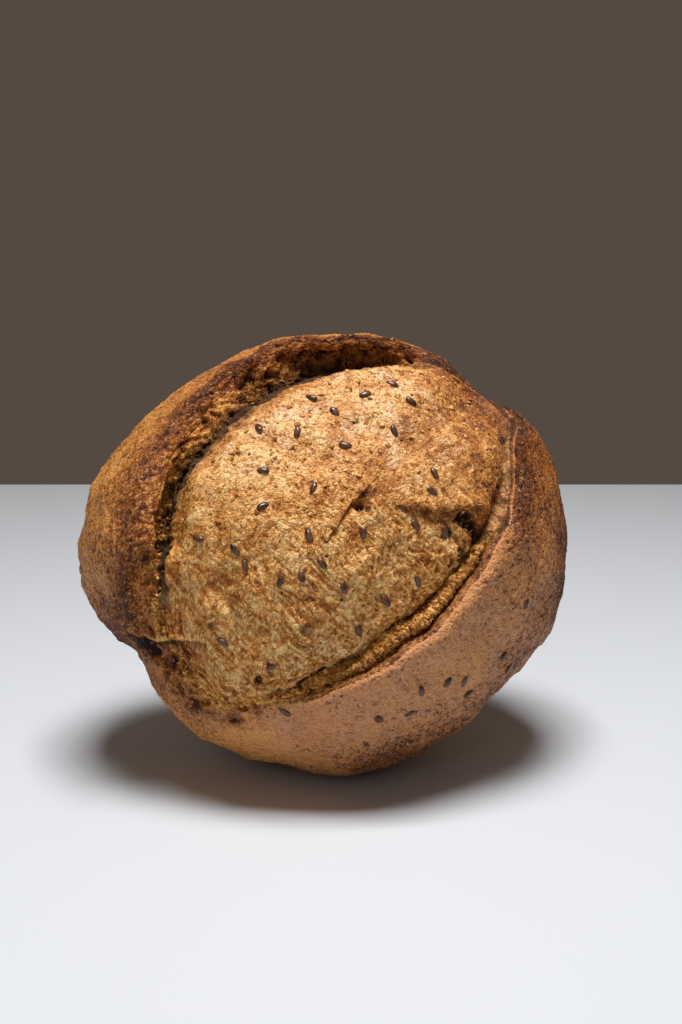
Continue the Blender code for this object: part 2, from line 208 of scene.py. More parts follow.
def guides(theta):
    """The guide points (radius, height) of the section at each angle, from top to base.

    The dome over the rim is a quarter of an ellipse. The crumb follows a slightly fuller curve
    down to its edge, and the crack, the torn face and the lip hang on the dome's height there.
    Beside a plain lip the torn face is a steep wall with an undercut. Beside a thin lip it is a
    shelf with a groove, and where the loaf is only scuffed its guides lie evenly on the slope.
    """
    rim, edge, inner, crest, depth, rise, under, shelf = (smooth_closed(theta, c) for c in range(1, 9))
    torn = np.clip(depth / 8, 0.15, 1)
    edge = edge + 0.9 * torn * wander(theta, 3)
    inner = np.maximum(inner + 0.9 * torn * wander(theta, 5), edge + LEAST_GAP)
    crest = np.maximum(crest + 0.8 * torn * wander(theta, 7), inner + LEAST_LIP)

    def dome(radius):
        share = np.clip(1 - (radius / rim) ** 2, 0, 1)
        return RIM_HEIGHT + (THICKNESS - RIM_HEIGHT) * np.sqrt(share)

    foot = dome(edge) - 2.5 * torn - 2.0 * shelf
    low = foot - depth
    width = inner - edge
    top = dome(crest) + rise
    shallow = 1 - np.clip((depth - 3) / 6, 0, 1)
    face = top + shallow * (dome(inner) - dome(crest)) - 0.28 * (crest - inner) - 1.0 * torn
    under = under * np.clip((face - low) / 10, 0, 1)
    low_face = 1 - np.clip(np.abs(face - low) / 9, 0, 1)
    rows = [(0 * theta, THICKNESS + 0 * theta)]
    for share in (0.3, 0.6, 0.84):
        fall = 0.82 * share**2 + 0.18 * share**6
        rows.append((share * edge, THICKNESS - (THICKNESS - foot) * fall))
    rows.append((0.975 * edge, foot + 0.06 * (THICKNESS - foot) + 0.2))
    for plain, beside, share in ((0.14, 0.07, 0.30), (0.30, 0.13, 0.75), (0.52, 0.21, 1.0)):
        rows.append((edge + (plain + shelf * (beside - plain)) * width, foot - share * depth))
    for steep, even, beside, share, shelf_share in (
            (-0.35 * width + 0.6 * under, 0.64, 0.34, 0.18, 0.80),
            (-0.12 * width + under, 0.78, 0.54, 0.50, 1.0),
            (0.35 * under, 0.91, 0.82, 0.82, 0.70)):
        wall = (1 - low_face) * (inner + steep) + low_face * (edge + even * width)
        radius = wall + shelf * (edge + beside * width - wall)
        rows.append((radius, low + (share + shelf * (shelf_share - share)) * (face - low)))
    rows.append((inner + 0.12 * (crest - inner), face + 0.2 * (top - face)))
    rows.append((crest, top))
    for share in (0.30, 0.58, 0.84):
        radius = crest + share * (rim - crest)
        rows.append((radius, dome(radius) + rise * (1 - share) ** 1.5))
    for inset, height in BASE_CURVE:
        rows.append((rim - inset, height + 0 * theta))
    rows.append((0.36 * rim, 0.0 * theta))
    rows.append((0 * theta, 0 * theta))
    return np.array(rows)


def sections(theta, rows):
    """Each section as a smooth curve through its guides, with the given rows between guides.

    It is a cubic Hermite curve on the guides' own chord lengths, flat across both poles.
    """
    guide = guides(theta)
    chord = np.maximum(np.linalg.norm(np.diff(guide, axis=0), axis=1), 1e-6)
    way = np.diff(guide, axis=0) / chord[:, None]
    slope = np.empty_like(guide)
    before, after = chord[:-1, None], chord[1:, None]
    slope[1:-1] = (way[:-1] * after + way[1:] * before) / (before + after)
    slope[0] = np.array([1.0, 0.0])[:, None]
    slope[-1] = np.array([-1.0, 0.0])[:, None]
    line = []
    for i, count in enumerate(rows):
        u = (np.arange(count) / count)[:, None, None]
        span = chord[i]
        line.append((2 * u**3 - 3 * u**2 + 1) * guide[i] + (u**3 - 2 * u**2 + u) * span * slope[i]
                    + (3 * u**2 - 2 * u**3) * guide[i + 1] + (u**3 - u**2) * span * slope[i + 1])
    return np.concatenate(line + [guide[-1:]])


def grid_points(columns, rows):
    """The loaf's surface as rows by columns of points (p, q, h), each section turned to its angle."""
    theta = np.linspace(-np.pi, np.pi, columns, endpoint=False)
    line = sections(theta, rows)
    radius, height = line[:, 0], line[:, 1]
    return np.stack((radius * np.cos(theta), radius * np.sin(theta), height), axis=-1)


def from_middle(points):
    """Unit ways from the loaf's middle to its points, along which lumps and marks are raised."""
    way = points - np.array([0.0, 0.0, RIM_HEIGHT])
    return way / np.linalg.norm(way, axis=-1, keepdims=True)


def outward(points):
    """Unit normals of the grid: the cross product of its two ways across, pointing out."""
    around = np.roll(points, -1, axis=1) - np.roll(points, 1, axis=1)
    down = np.gradient(points, axis=0)
    normal = np.cross(down, around)
    normal[0] = (0, 0, 1)
    normal[-1] = (0, 0, -1)
    return normal / np.maximum(np.linalg.norm(normal, axis=-1, keepdims=True), 1e-9)


def reach(p, q, line):
    """The distance from each place (p, q) to a line of places, and its side: + to its left."""
    best = np.full(np.shape(p), 1e9)
    side = np.zeros(np.shape(p))
    for (p0, q0), (p1, q1) in zip(line[:-1], line[1:]):
        dp, dq = p1 - p0, q1 - q0
        along = np.clip(((p - p0) * dp + (q - q0) * dq) / (dp * dp + dq * dq), 0, 1)
        away = np.hypot(p - p0 - along * dp, q - q0 - along * dq)
        turn = np.sign(dp * (q - q0) - dq * (p - p0))
        side = np.where(away < best, turn, side)
        best = np.minimum(best, away)
    return best, side


def in_torn_patch(p, q):
    """How far a place (p, q) lies in the torn patch: 1 in its middle, fading out in an oval."""
    return np.exp(-(((p - TORN_PATCH[0]) / 9) ** 2) - ((q - TORN_PATCH[1]) / 12) ** 2)


def face_marks(points):
    """The height that folds, tears and splits add on the crumb, in mm, on the top side only.

    A fold is high on its left and low on its right and fades away from its line, a split is a
    narrow groove, and a hollow, a blister and the torn patch are round bumps or dips.
    """
    p, q, h = points[..., 0], points[..., 1], points[..., 2]
    away, side = reach(p, q, FOLD)
    total = 0.8 * side * bell(away, 3.6)
    total -= 1.6 * bell(np.hypot(p - FOLD_HOLLOW[0], q - FOLD_HOLLOW[1]), 2.6)
    total += 0.9 * bell(reach(p, q, BLISTER)[0], 2.2)
    away, side = reach(p, q, TEAR)
    total += (0.6 + 1.2 * side) * bell(away, 4.0)
    total -= 1.6 * in_torn_patch(p, q)
    for split in SPLITS:
        total -= 1.2 * bell(reach(p, q, split)[0], 1.6)
    return np.where(h > RIM_HEIGHT, total, 0)


def loaf_grid(columns, rows):
    """The loaf's surface in its own frame, with its soft lumps and the marks on its crumb."""
    points = grid_points(columns, rows)
    relief = face_marks(points)
    for height, length, seed in LUMPS:
        relief = relief + height * waves(points, length, seed)
    points = points + from_middle(points) * relief[..., None]
    points[0] = points[0].mean(0)
    points[-1] = points[-1].mean(0)
    return points


def stand(points):
    """Turns loaf points to the way the loaf stands, still in millimetres and not yet placed."""
    lean, turn = math.radians(LEAN), math.radians(TURN)
    across = np.array([math.cos(turn), math.sin(turn), 0])
    axis = np.array([math.cos(lean) * math.sin(turn), -math.cos(lean) * math.cos(turn), math.sin(lean)])
    up = np.cross(axis, across)
    return points @ np.array([across, up, axis])


def placing(world):
    """What is added to standing points so that the loaf rests on its flat spot, centred."""
    low, high = world.reshape(-1, 3).min(0), world.reshape(-1, 3).max(0)
    return np.array([-(low[0] + high[0]) / 2, -(low[1] + high[1]) / 2, -low[2] - FLAT_SPOT])


PLAIN = loaf_grid(PLAIN_COLUMNS, PLAIN_ROWS)
SHIFT = placing(stand(PLAIN))


def placed(points):
    """Loaf points where they stand in the room, none of them outside the plain solid's box."""
    return np.clip(stand(points) + SHIFT, *(np.array(CAD_BOX) / MM))


# Noise, from which the grain of crumb and crust is made.

def mixed_bits(cell, seed):
    """A fixed 64-bit number for each whole-number cell, by multiplying and shifting its bits."""
    x, y, z = (cell[..., i].astype(np.int64).view(np.uint64) for i in range(3))
    mixed = (x * np.uint64(0x9E3779B97F4A7C15) + y * np.uint64(0xC2B2AE3D27D4EB4F)
             + z * np.uint64(0x165667B19E3779F9) + np.uint64(seed * 7919 + 17))
    mixed = (mixed ^ (mixed >> np.uint64(29))) * np.uint64(0xBF58476D1CE4E5B9)
    mixed = (mixed ^ (mixed >> np.uint64(32))) * np.uint64(0x94D049BB133111EB)
    return mixed ^ (mixed >> np.uint64(31))


CORNERS = [np.array((i, j, k), float) for i in (0, 1) for j in (0, 1) for k in (0, 1)]


def noise(points, size, seed):
    """Value noise from -1 to 1 with lumps of a size in mm: random cell corners, softly blended."""
    place = points / size + 0.37
    cell = np.floor(place)
    u = place - cell
    u = u * u * u * (u * (u * 6 - 15) + 10)
    total = 0
    for corner in CORNERS:
        share = np.prod(np.where(corner == 1, u, 1 - u), axis=-1)
        total = total + share * (mixed_bits(cell + corner, seed) >> np.uint64(40)).astype(float)
    return total / 2.0**23 - 1


def rough(points, size, seed, octaves=3, gain=0.5):
    """Noise of several sizes, each half the last, summed and brought back to about -1 to 1."""
    total, share, weight = 0, 1.0, 0.0
    for k in range(octaves):
        total = total + share * noise(points + 13.7 * k, size / 2**k, seed + k)
        weight += share
        share *= gain
    return total / weight


def ridges(points, size, seed, octaves=2):
    """Noise folded at zero, so that it has sharp crests: 1 on a crest and falling to -1."""
    return 1 - 2 * np.abs(rough(points, size, seed, octaves)) ** 0.8


def cells(points, size, seed):
    """The two least distances, in cells, to random points strewn one to a cell, and its number."""
    place = points / size
    cell = np.floor(place - 0.5)
    first = np.full(points.shape[:-1], 9.0)
    second = np.full(points.shape[:-1], 9.0)
    number = np.zeros(points.shape[:-1])
    low_bits = np.uint64(2**20 - 1)
    for corner in CORNERS:
        near = cell + corner
        bits = mixed_bits(near, seed)
        spot = np.stack([((bits >> np.uint64(shift)) & low_bits).astype(float) for shift in (0, 20, 40)],
                        axis=-1) / 2.0**20
        away = np.linalg.norm(near + 0.1 + 0.8 * spot - place, axis=-1)
        closer = away < first
        second = np.where(closer, first, np.minimum(second, away))
        number = np.where(closer, (bits >> np.uint64(44)).astype(float) / 2.0**20, number)
        first = np.where(closer, away, first)
    return first, second, number


def warped(points, size, amount, seed):
    """Points pushed about by three noises, so that a pattern read there loses its regular look."""
    return points + amount * np.stack([noise(points, size, seed + 7 * k) for k in range(3)], axis=-1)


# The crumb's fibres run across the loaf's face down to the right, at this turn in degrees.
FIBRE_TURN = -48.0
# The brown crease along the fold, the thin skin that stands in an arc beside it, and the edge at
# the lower left where the flap hangs over the scuffed side: places (p, q) in mm.
CREASE = ((-11, -13), (-7.9, -9.2), (-0.4, 1.0), (4, 3.8), (10.8, 7.8))
ARC = ((2.5, 4.4), (6, 4.8), (9.6, 2.4), (12, -2), (13.7, -6.3))
LEDGE = ((-72, -27.8), (-67.8, -29.5), (-59.7, -33.1), (-51.2, -35.9), (-45, -37.6))
# Open pores in the crumb that show singly: (p, q, radius, depth) in mm.
PORES = (
    (42, -1, 3.0, 4.0), (46, -4, 2.2, 3.4), (41, -13, 2.3, 3.2), (38, -21, 1.7, 2.4), (-14, -37, 2.6, 0.9),
    (4.6, 2.0, 1.7, 1.5), (7.2, 1.2, 1.3, 1.2),
    (36, -6, 1.8, 1.6), (-45, -32, 1.2, 1.2), (62, 30, 1.1, 1.0), (45, 17, 1.3, 0.9), (57, 12, 1.1, 1.0),
    (-30, -51, 1.5, 2.0), (-22, -57, 1.4, 1.8),
)


def along_fibres(points, stretch):
    """Points squeezed along the fibres' way, so that noise read there is drawn out along them."""
    turn = math.radians(FIBRE_TURN)
    p, q, h = np.moveaxis(warped(points, 8, 1.8, 60), -1, 0)
    length = (p * math.cos(turn) + q * math.sin(turn)) / stretch
    return np.stack((length, -p * math.sin(turn) + q * math.cos(turn), h), axis=-1)


def fibrous_at(p, q):
    """How far the crumb is fibrous, and not granular: it grows down the face, from 0 to 1."""
    return ramp(-0.9 * q + 0.25 * p, -26, 16)


def granules(points, size, seed, uneven=0.9):
    """Rounded grains of a size in mm: domes 0.9 - 1.5 d^2 on strewn points, each at its own height."""
    near, far, number = cells(points, size, seed)
    return 0.9 - 1.5 * np.minimum(near, 0.9) ** 2 + uneven * (number - 0.5)


def crumb_height(points):
    """The grain of the baked-open crumb: its height in mm, how pale it is, and the painted shade in its
    pores and open cells.

    It is the sum of rounded granules, overlapping scales each at its own height, drawn-out
    fibres that grow stronger down the face, soft lumps, and pores cut into it. A thin skin
    stands along the arc, and the torn patch is broken up into open cells.
    """
    p, q, h = np.moveaxis(points, -1, 0)
    fibrous = fibrous_at(p, q)
    granule = granules(warped(points, 2.0, 0.8, 81), 0.95, 82)
    splinter = granules(along_fibres(points, 3.2), 1.0, 83)
    grain = (1 - 0.75 * fibrous) * granule + 0.75 * fibrous * splinter
    near, far, number = cells(warped(points, 3.0, 2.0, 86), 3.3, 87)
    scale = (number - 0.5) * 2 * ramp(far - near, 0.0, 0.3) - 0.4 * fall(far - near, 0.0, 0.1)
    strands = ridges(along_fibres(points, 7), 1.5, 89)
    curls = ridges(warped(points, 1.6, 0.9, 90), 2.3, 92)
    lumps = rough(points, 8, 94, 3)
    pores = fall(cells(warped(points, 2, 1.2, 96), 6.5, 97)[0], 0.06, 0.16)
    pores = pores * ramp(noise(points, 14, 98), 0.0, 0.3)
    height = (0.10 * grain + 0.26 * scale + (0.05 + 0.34 * fibrous) * strands
              + 0.26 * (1.1 - fibrous) * curls + 0.45 * lumps - 0.35 * pores)
    height = height + 0.8 * bell(reach(p, q, ARC)[0], 0.5) * (h > RIM_HEIGHT)
    opened = np.zeros_like(p)
    for p0, q0, radius, deep in PORES:
        bent = np.hypot(p - p0, q - q0) * (1 + 0.25 * lumps)
        opened += deep * fall(bent, 0.5 * radius, 1.2 * radius) * (h > RIM_HEIGHT)
    broken = in_torn_patch(p, q)
    open_cells = ramp(cells(warped(points, 3, 0.9, 101), 3.4, 102)[0], 0.15, 0.62) - 0.45
    height = height - opened + 1.9 * broken * open_cells
    veins = ramp(ridges(warped(points, 2.5, 1.5, 104), 6.0, 105), 0.66, 0.95)
    blotches = rough(warped(points, 4, 1.6, 107), 4.2, 108, 3)
    # paler where the grain stands high: partly painted light on the tips and shade between them
    pale = (0.5 + 0.15 * grain + 0.13 * scale + 0.14 * curls * (1 - fibrous)
            + 0.40 * (strands - 0.3) * fibrous)
    # painted shade: pores, and the deep open cells of the torn patch, are made darker
    pale = pale - 0.4 * pores + 0.34 * blotches - 0.5 * broken * (0.4 - open_cells) - 0.42 * veins
    cave_shade = 1.4 * broken * np.clip(-open_cells, 0, 1)
    return height, np.clip(pale, 0, 1), np.clip(pores + opened / 1.5 + cave_shade, 0, 1)


def torn_height(points, shelf):
    """The open grain of a torn face, in mm, and how pale it is: cells wide and small, crumbs, fluff."""
    wide = ramp(cells(warped(points, 4, 1.5, 121), 5.2, 122)[0], 0.15, 0.68) - 0.5
    small = ramp(cells(warped(points, 2.5, 0.8, 124), 2.6, 125)[0], 0.15, 0.7) - 0.5
    crumbs = granules(warped(points, 1.5, 0.6, 126), 1.25, 127)
    fluff = rough(warped(points, 3, 1.2, 129), 3.4, 130, 3) + 0.7 * shelf * noise(points, 7.5, 131)
    height = (1.9 * wide * (1 - 0.6 * shelf) + 0.8 * small * (1 - 0.4 * shelf)
              + (0.16 + 0.08 * shelf) * crumbs + (0.4 + 1.3 * shelf) * fluff)
    # painted shade: the open cells are paler on their walls and darker in their depths
    pale = (0.5 + 0.5 * wide * (1 - 0.5 * shelf) + 0.30 * small + 0.14 * crumbs
            + (0.35 + 0.25 * shelf) * fluff)
    return height, np.clip(pale, 0, 1)


def crust_height(points, band, streaked, bumpy):
    """The skin of the crust: its height in mm, how pale it is, and the painted shade in its pits.

    Its leathery grain is of low rounded cells with fine creases, streaked round the loaf where
    the crust was stretched, rough and pitted along the lip, and blistered where it is bumpy.
    """
    near, far, number = cells(warped(points, 2, 0.6, 141), 1.7, 142)
    leather = 0.8 - 1.4 * np.minimum(near, 0.9) ** 2 + 0.7 * (number - 0.5)
    flat = points * np.array([0.45, 0.45, 1.25])
    streaks = ridges(warped(flat, 3, 0.5, 144), 1.5, 145)
    creases = ridges(warped(points, 5, 1.2, 147), 5.5, 148)
    near, far, number = cells(warped(points, 5, 1.2, 150), 5.0, 151)
    blisters = (number > 0.45) * fall(near, 0.15, 0.62)
    pits = fall(cells(warped(points, 1.5, 0.9, 152), 6.0, 153)[0], 0.05, 0.17)
    pits = pits * ramp(noise(points, 13, 154), -0.1, 0.3)
    rubble = rough(points, 2.6, 156, 3)
    grit = granules(warped(points, 1.2, 0.5, 158), 1.0, 159, uneven=1.1)
    height = (0.21 * leather + (0.20 + 0.08 * band) * grit + 0.14 * streaked * streaks
              - 0.10 * ramp(creases, 0.7, 0.9) + (0.14 + 0.35 * bumpy) * blisters
              + 0.90 * band * rubble - (0.30 + 0.5 * band) * pits)
    # paler where the grain stands high: partly painted light on the tips and shade between them
    pale = 0.5 + 0.26 * leather + 0.42 * grit + 0.30 * streaked * streaks + 0.3 * band * rubble - 0.3 * pits
    # painted shade: pits are made darker in the pale value, and returned as the shade of their hollows
    return height, np.clip(pale, 0, 1), pits


def fine_surface():
    """The finished surface: its plain points and normals, its grained points, and its bake.

    The bake is four values at each point, from 0 to 1: toast, how far it is browned; hollow, how
    deep it lies in a crack, pore or recess, which is painted there as shade; veil, how far a dull,
    rosy bloom of flour and starch covers it, with painted sheen in patches over the upper crumb; and
    tips, how far its grain stands out, which makes it paler, partly as painted light.
    """
    plain = loaf_grid(COLUMNS, FINE_ROWS)
    normal = outward(plain)
    guide = np.concatenate([i + np.arange(n) / n for i, n in enumerate(FINE_ROWS)] + [[len(FINE_ROWS)]])
    guide = np.broadcast_to(guide[:, None], plain.shape[:2])
    theta = np.linspace(-np.pi, np.pi, COLUMNS, endpoint=False)
    angle = np.broadcast_to(np.degrees(theta), plain.shape[:2])
    depth, shelf = (smooth_closed(theta, column)[None] for column in (DEPTH, SHELF))
    scuffed = zone(angle, -160, -156, -121, -112)
    run_over = zone(angle, 26, 32, 57, 64)
    to_lip = zone(angle, -14, -3, 57, 64)
    right_lip = zone(angle, -14, -3, 26, 33)
    # how strongly painted shade fills the crack below the crumb's edge, more where the crack is deep
    crack = (1 - scuffed) * (1 - run_over) * (1 - 0.6 * to_lip) * np.clip(depth / 6, 0.3, 1)

    ragged = rough(plain, 6, 171, 3)
    crumb = np.maximum(fall(guide, 5.4, 6.8), run_over * fall(guide + 0.8 * ragged, 15.0, 16.2))
    crumb = np.maximum(crumb, to_lip * fall(guide + 0.5 * ragged, 10.7, 11.3))
    crumb = np.maximum(crumb, scuffed * fall(guide + 1.2 * ragged, 8.0, 10.0))
    torn = ramp(guide + 0.7 * ragged * (1 - 0.8 * shelf) - 3.0 * scuffed, 4.5, 5.9) * (1 - to_lip)
    torn = torn * fall(guide + 0.6 * ragged, 10.6, 11.5)
    peeled = scuffed * ramp(guide + 1.2 * ragged, 8.0, 10.0) * fall(guide + 1.4 * ragged, 12.6, 14.0)
    torn = np.maximum(torn * np.clip(depth / 5, 0.25, 1) * (1 - scuffed), peeled)
    groove = shelf * ramp(guide + 0.25 * ragged, 9.2, 9.8) * (1 - scuffed)
    torn = torn * (1 - 0.85 * groove)
    crumb = crumb * (1 - torn)
    crust = (1 - crumb) * (1 - torn)

    # painted shade: the hollow value darkens cracks, pores, pits and recesses
    relief, hollow = np.zeros(plain.shape[:2]), np.zeros(plain.shape[:2])
    tips = np.full(plain.shape[:2], 0.5)
    rows = slice(0, row_at(16.6))
    height, pale, hole_shade = crumb_height(plain[rows])
    relief[rows] += crumb[rows] * height
    tips[rows] += crumb[rows] * (pale - 0.5)
    hollow[rows] += crumb[rows] * hole_shade
    rows = slice(row_at(4.5), row_at(15))
    height, pale = torn_height(plain[rows], shelf)
    relief[rows] += torn[rows] * height
    tips[rows] += torn[rows] * (pale - 0.5)
    rows = slice(row_at(9), len(plain))
    band = bell(guide - 12.2, 0.9) * (1 - 0.9 * ramp(shelf, 0.1, 0.6))
    streaked = zone(angle, -40, -5, 25, 50)
    underside = ramp(guide, 14.8, 16.2)
    height, pale, hole_shade = crust_height(plain[rows], band[rows], streaked[rows], underside[rows])
    relief[rows] += crust[rows] * height
    tips[rows] += crust[rows] * (pale - 0.5)
    hollow[rows] += 0.7 * crust[rows] * hole_shade
    p, q = plain[..., 0], plain[..., 1]
    under_edge = np.interp(p, *np.transpose(LEDGE)) - q + 0.8 * ragged
    beside = zone(p, -76, -71, -54, -45) * ramp(plain[..., 2], 50, 56)
    recess = beside * ramp(under_edge, 0, 0.8) * fall(under_edge, 3, 11)
    edge = beside * bell(under_edge + 0.7, 0.7)
    poles = zone(guide, 0, 0.05, 22.8, 23)
    relief = relief - 0.2 - 2.0 * recess + 0.5 * edge
    grained = plain + normal * (relief * (0.1 + 0.9 * poles))[..., None]
    grained[0] = grained[0].mean(0)
    grained[-1] = grained[-1].mean(0)

    cloud, mottle = rough(plain, 24, 161, 3), rough(plain, 6, 165, 3)
    right_side = ramp(p + 0.2 * q, 34, 60)
    crumb_toast = 0.36 + 0.17 * cloud + 0.24 * mottle + 0.10 * run_over + 0.22 * right_side
    crumb_toast = crumb_toast + 0.04 * scuffed * ramp(guide, 4, 6) - 0.08 * ramp(-q, 22, 42)
    marked = bell(reach(p, q, TEAR)[0], 1.6) * (0.6 + 0.4 * mottle)
    marked = marked + bell(reach(p, q, CREASE)[0], 1.7) * (0.6 + 0.7 * mottle)
    edge_brown = 0.14 * ramp(guide, 3.0, 4.6) * (1 - shelf)
    crumb_toast = crumb_toast + 0.5 * np.clip(marked, 0, 1) * (guide < 6) + edge_brown
    # painted shade under the ear: the torn face and the crest band beneath it are made darker and less
    # veiled
    ear_shade = zone(angle, 58, 72, 105, 130)
    torn_toast = 0.58 + 0.30 * mottle + 0.22 * ramp(guide, 9.8, 11.5) * (1 - scuffed) - 0.48 * shelf
    torn_toast = torn_toast + 0.14 * ear_shade + 0.3 * shelf * mottle
    right_flap = zone(angle, -32, -2, 40, 60)
    left_flap = ramp(angle, 100, 120) + 1 - ramp(angle, -175, -160)
    # painted shade on the underside of the left flap, made browner low down
    flap_underside_shade = ramp(-q, 8, 26) * ramp(-p, 62, 74) * (guide > 12)
    under_lip = zone(angle, -110, -75, 10, 40)
    crust_toast = (0.48 + 0.22 * cloud + 0.20 * mottle + (0.34 + 0.14 * ear_shade) * band + 0.22 * right_flap
                   - 0.08 * left_flap * (1 - band) + 0.46 * flap_underside_shade
                   + 0.32 * under_lip * ramp(guide, 13.8, 15.4) * fall(guide, 16.5, 18))
    toast = crumb * crumb_toast + torn * torn_toast + crust * crust_toast + 0.38 * groove * (guide < 11.6)
    # painted shade in the recess beneath the ledge, which is made browner; the ledge's edge is made paler
    toast = toast - 0.35 * edge + 0.25 * recess
    # painted shade down the crack, from the crumb's edge to the torn face's floor
    hollow = hollow + 0.92 * crack * ramp(guide, 5.0, 6.2) * fall(guide, 7.2, 9.0 - 1.2 * shelf)
    # painted shade: under the ledge, in the groove beside the thin lip, and in the narrow crack inside the
    # right lip
    hollow = hollow + 0.8 * recess * fall(under_edge, 1.0, 3.5) + 0.22 * groove * (guide < 11)
    hollow = hollow + 0.6 * right_lip * bell(guide - 11.15, 0.22)
    lower = zone(angle, -150, -120, -46, -14)
    toast = toast - (0.05 + 0.12 * bell(angle + 112, 14)) * lower * crust
    veil_and_sheen = lower * ramp(guide, 11.7, 12.2) * (0.44 + 0.5 * cloud + 0.5 * mottle)
    veil_and_sheen = veil_and_sheen * (1 - 0.95 * ramp(guide, 13.7, 15.2))
    veil_and_sheen = veil_and_sheen + 0.10 * (1 - lower) * ramp(mottle, -0.1, 0.6) * crust + 0.5 * groove * (guide >= 11)
    veil_and_sheen = veil_and_sheen + 0.40 * to_lip * crumb * (guide >= FOOT) * (guide < 11)
    veil_and_sheen = veil_and_sheen + 0.30 * band * ramp(mottle, -0.2, 0.4) * crust * (1 - ear_shade)
    # painted sheen: pale patches over the upper crumb, growing towards the top and fading to the right,
    # added to the veil
    painted_sheen = ramp(noise(plain, 7, 173) + 0.5 * mottle, 0.1, 0.7) * ramp(q + 0.2 * p, -8, 30)
    painted_sheen = (0.55 * painted_sheen + 0.16 * ramp(q + 0.2 * p, 0, 40)) * (1 - 0.75 * ramp(p, 22, 50))
    veil_and_sheen = veil_and_sheen + crumb * painted_sheen
    lip_line = bell(guide - 11.8, 0.16) * np.maximum(ramp(shelf, 0.2, 0.7), right_lip)
    toast = toast - 0.40 * lip_line
    veil_and_sheen = veil_and_sheen + (0.10 + 0.4 * right_lip) * lip_line
    bake = np.stack([np.clip(value, 0, 1) for value in (toast, hollow, veil_and_sheen, tips)], axis=-1)
    return plain, normal, grained, bake


def row_at(guide_number):
    """The fine grid's row at a guide, or between two guides."""
    whole = int(guide_number)
    return int(sum(FINE_ROWS[:whole]) + (guide_number - whole) * (FINE_ROWS[whole] if whole < POLE else 0))


def make_object(name, points, faces, smooth, material):
    """A named piece at the origin, its millimetre points made metres, in one material.

    faces is a list of arrays of rows of point numbers, of triangles or of quads, and smooth tells
    of each of these arrays whether it is shaded smooth.
    """
    mesh = bpy.data.meshes.new(name)
    loops = np.concatenate([rows.ravel() for rows in faces]).astype(np.int32)
    sizes = np.concatenate([np.full(len(rows), rows.shape[1]) for rows in faces]).astype(np.int32)
    mesh.vertices.add(len(points))
    mesh.vertices.foreach_set("co", (points * MM).astype(np.float32).ravel())
    mesh.loops.add(len(loops))
    mesh.loops.foreach_set("vertex_index", loops)
    mesh.polygons.add(len(sizes))
    mesh.polygons.foreach_set("loop_start", np.concatenate(([0], np.cumsum(sizes)[:-1])).astype(np.int32))
    mesh.polygons.foreach_set("use_smooth", np.repeat(smooth, [len(rows) for rows in faces]))
    mesh.update(calc_edges=True)
    mesh.validate()
    mesh.materials.append(material)
    item = bpy.data.objects.new(name, mesh)
    bpy.context.collection.objects.link(item)
    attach(item, "root")
    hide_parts("loaf")
    return item


def paint(item, bake):
    """Puts the bake on a piece, as one colour attribute that its material reads."""
    layer = item.data.attributes.new("bake", "FLOAT_COLOR", "POINT")
    layer.data.foreach_set("color", bake.astype(np.float32).ravel())


def strips(first, second):
    """Quads between two closed rows of point numbers, or between rows of a stack of them."""
    return np.stack((first, second, np.roll(second, -1, axis=-1), np.roll(first, -1, axis=-1)),
                    axis=-1).reshape(-1, 4)


def fan(middle, ring):
    """Triangles from one point to a closed row of points."""
    return np.stack((np.full(ring.shape, middle), ring, np.roll(ring, -1)), axis=-1)


def surface_piece(name, surface, first, last, wall, material):
    """A closed piece of the loaf's surface between two guides, with an inner side wall mm deep.

    The outer side is the grained rows. The inner side is the plain rows at the guides, moved
    inwards along their normals. At a pole the rows end in one point with a fan round it.
    """
    plain, normal, grained, bake = surface
    outer = np.arange(row_at(first), row_at(last) + 1)
    inner = np.array([row_at(k) for k in range(last, first - 1, -1)])
    inside = plain[inner] - wall * normal[inner]
    middle = np.concatenate((grained[outer], inside))
    values = np.concatenate((bake[outer], np.broadcast_to([0.5, 1, 0, 0.5], inside.shape[:2] + (4,))))
    count = len(middle)
    place = np.arange(count * COLUMNS).reshape(count, COLUMNS)
    seen = len(outer)
    if first == 0:
        shown = [strips(place[1:seen - 1], place[2:seen]), fan(0, place[1])]
        hidden = [strips(place[seen - 1:count - 2], place[seen:count - 1]),
                  fan((count - 1) * COLUMNS, place[count - 2][::-1])]
    elif last == POLE:
        shown = [strips(place[:seen - 2], place[1:seen - 1]),
                 fan((seen - 1) * COLUMNS, place[seen - 2][::-1])]
        hidden = [fan(seen * COLUMNS, place[seen + 1]), strips(place[seen + 1:-1], place[seen + 2:]),
                  strips(place[-1], place[0])]
    else:
        shown = [strips(place[:seen - 1], place[1:seen])]
        hidden = [strips(place[seen - 1:], np.roll(place, -1, axis=0)[seen - 1:])]
    faces = shown + hidden
    used = np.unique(np.concatenate([rows.ravel() for rows in faces]))
    number = np.zeros(count * COLUMNS, np.int64)
    number[used] = np.arange(len(used))
    smooth = [True] * len(shown) + [False] * len(hidden)
    item = make_object(name, placed(middle.reshape(-1, 3)[used]), [number[rows] for rows in faces],
                       smooth, material)
    paint(item, values.reshape(-1, 4)[used])
    return item


# Small things strewn on the surface. Each is a small closed shape that is repeated.

